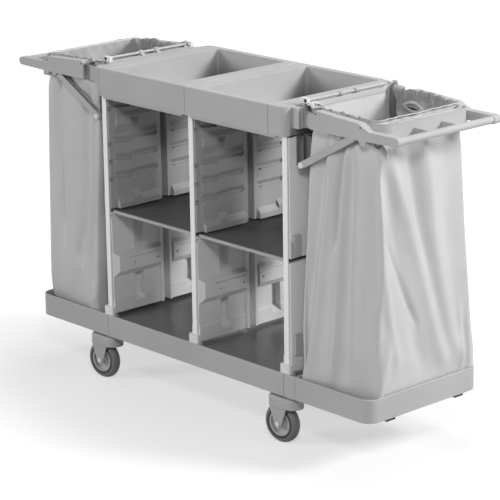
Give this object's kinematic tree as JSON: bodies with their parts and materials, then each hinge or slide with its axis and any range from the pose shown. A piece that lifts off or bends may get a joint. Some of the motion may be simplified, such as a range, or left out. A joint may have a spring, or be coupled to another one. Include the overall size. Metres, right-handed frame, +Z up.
{
  "type": "maid trolley",
  "caption": "Long moulded housekeeping trolley on swivel casters, with open shelves between wall panels, deep top bins and folding holders with laundry bags at its ends.",
  "frame": {"origin": "on the floor under the middle of the trolley", "axes": "+X along the length towards the right-hand bag, +Y to the back, +Z up"},
  "size_m": [1.712, 0.488, 1.0595],
  "materials": {
    "grey_plastic": "fine textured mould finish",
    "panel_plastic": "fine textured mould finish",
    "white_plastic": "satin",
    "post_metal": "satin anodised",
    "dark_board": "fine grain",
    "board_edge": "satin",
    "black_rubber": "matt",
    "dark_plastic": "satin",
    "steel": "zinc plated",
    "tyre_grey": "matt, with a darker ring in the sidewall",
    "hub_plastic": "satin",
    "bag_cloth": "coated satin weave"
  },
  "bodies": {
    "chassis": {"base_frame": "grey_plastic", "left_platform": "grey_plastic", "right_platform": "grey_plastic", "caster_sockets": "grey_plastic", "left_top_tray": "grey_plastic", "right_top_tray": "grey_plastic", "left_hinge_rail": "grey_plastic", "right_hinge_rail": "grey_plastic", "hinge_brackets": "grey_plastic", "wall_clips": "grey_plastic", "left_upper_wall": "panel_plastic", "left_lower_wall": "panel_plastic", "centre_upper_wall": "panel_plastic", "centre_lower_wall": "panel_plastic", "right_upper_wall": "panel_plastic", "right_lower_wall": "panel_plastic", "post_feet": "white_plastic", "rail_rods": "white_plastic", "posts": "post_metal", "base_floor": "dark_board", "left_shelf": "dark_board", "right_shelf": "dark_board", "shelf_edges": "board_edge", "platform_pads": "black_rubber", "stay_guides": "dark_plastic", "hinge_pins": "steel", "left_bag": "bag_cloth", "right_bag": "bag_cloth"},
    "left_bag_frame": {"left_front_arm": "grey_plastic", "left_rear_arm": "grey_plastic", "left_rim_beam": "grey_plastic", "left_push_handle": "grey_plastic", "left_frame_pins": "black_rubber"},
    "left_stay_pair": {"left_stays": "grey_plastic", "left_stay_pins": "white_plastic"},
    "left_clamp": {"left_bag_clamp": "grey_plastic"},
    "right_bag_frame": {"right_front_arm": "grey_plastic", "right_rear_arm": "grey_plastic", "right_rim_beam": "grey_plastic", "right_push_handle": "grey_plastic", "right_frame_pins": "black_rubber"},
    "right_stay_pair": {"right_stays": "grey_plastic", "right_stay_pins": "white_plastic"},
    "right_clamp": {"right_bag_clamp": "grey_plastic"},
    "left_front_caster": {"left_front_yoke": "grey_plastic", "left_front_axle": "steel"},
    "left_front_wheel": {"left_front_hub": "hub_plastic", "left_front_tyre": "tyre_grey"},
    "left_rear_caster": {"left_rear_yoke": "grey_plastic", "left_rear_axle": "steel"},
    "left_rear_wheel": {"left_rear_hub": "hub_plastic", "left_rear_tyre": "tyre_grey"},
    "right_front_caster": {"right_front_yoke": "grey_plastic", "right_front_axle": "steel"},
    "right_front_wheel": {"right_front_hub": "hub_plastic", "right_front_tyre": "tyre_grey"},
    "right_rear_caster": {"right_rear_yoke": "grey_plastic", "right_rear_axle": "steel"},
    "right_rear_wheel": {"right_rear_hub": "hub_plastic", "right_rear_tyre": "tyre_grey"}
  },
  "joints": [
    {"name": "left_fold", "type": "hinge", "parent": "chassis", "child": "left_bag_frame", "pos_m": [-0.494, 0, 1], "axis": [0, 1, 0], "range_deg": [0, 85]},
    {"name": "left_stay_swing", "type": "hinge", "parent": "left_bag_frame", "child": "left_stay_pair", "pos_m": [-0.673, 0, 0.984], "axis": [0, 1, 0], "range_deg": [-39, 0]},
    {"name": "left_clamp_lift", "type": "hinge", "parent": "left_bag_frame", "child": "left_clamp", "pos_m": [-0.53, 0, 1.031], "axis": [0, 1, 0], "range_deg": [0, 65]},
    {"name": "right_fold", "type": "hinge", "parent": "chassis", "child": "right_bag_frame", "pos_m": [0.494, 0, 1], "axis": [0, -1, 0], "range_deg": [0, 85]},
    {"name": "right_stay_swing", "type": "hinge", "parent": "right_bag_frame", "child": "right_stay_pair", "pos_m": [0.673, 0, 0.984], "axis": [0, -1, 0], "range_deg": [-39, 0]},
    {"name": "right_clamp_lift", "type": "hinge", "parent": "right_bag_frame", "child": "right_clamp", "pos_m": [0.53, 0, 1.031], "axis": [0, -1, 0], "range_deg": [0, 65]},
    {"name": "left_front_swivel", "type": "hinge", "parent": "chassis", "child": "left_front_caster", "pos_m": [-0.421, -0.206, 0.15], "axis": [0, 0, 1], "continuous": true},
    {"name": "left_front_roll", "type": "hinge", "parent": "left_front_caster", "child": "left_front_wheel", "pos_m": [-0.46277, -0.21039, 0.0625], "axis": [0.1045, -0.9945, 0], "continuous": true},
    {"name": "left_rear_swivel", "type": "hinge", "parent": "chassis", "child": "left_rear_caster", "pos_m": [-0.421, 0.206, 0.15], "axis": [0, 0, 1], "continuous": true},
    {"name": "left_rear_roll", "type": "hinge", "parent": "left_rear_caster", "child": "left_rear_wheel", "pos_m": [-0.46277, 0.21039, 0.0625], "axis": [-0.1045, -0.9945, 0], "continuous": true},
    {"name": "right_front_swivel", "type": "hinge", "parent": "chassis", "child": "right_front_caster", "pos_m": [0.421, -0.206, 0.15], "axis": [0, 0, 1], "continuous": true},
    {"name": "right_front_roll", "type": "hinge", "parent": "right_front_caster", "child": "right_front_wheel", "pos_m": [0.37923, -0.21039, 0.0625], "axis": [0.1045, -0.9945, 0], "continuous": true},
    {"name": "right_rear_swivel", "type": "hinge", "parent": "chassis", "child": "right_rear_caster", "pos_m": [0.421, 0.206, 0.15], "axis": [0, 0, 1], "continuous": true},
    {"name": "right_rear_roll", "type": "hinge", "parent": "right_rear_caster", "child": "right_rear_wheel", "pos_m": [0.37923, 0.21039, 0.0625], "axis": [-0.1045, -0.9945, 0], "continuous": true}
  ],
  "couplings": [
    {"joint": "left_stay_swing", "follows": "left_fold", "ratio": -0.4522},
    {"joint": "right_stay_swing", "follows": "right_fold", "ratio": -0.4522}
  ]
}
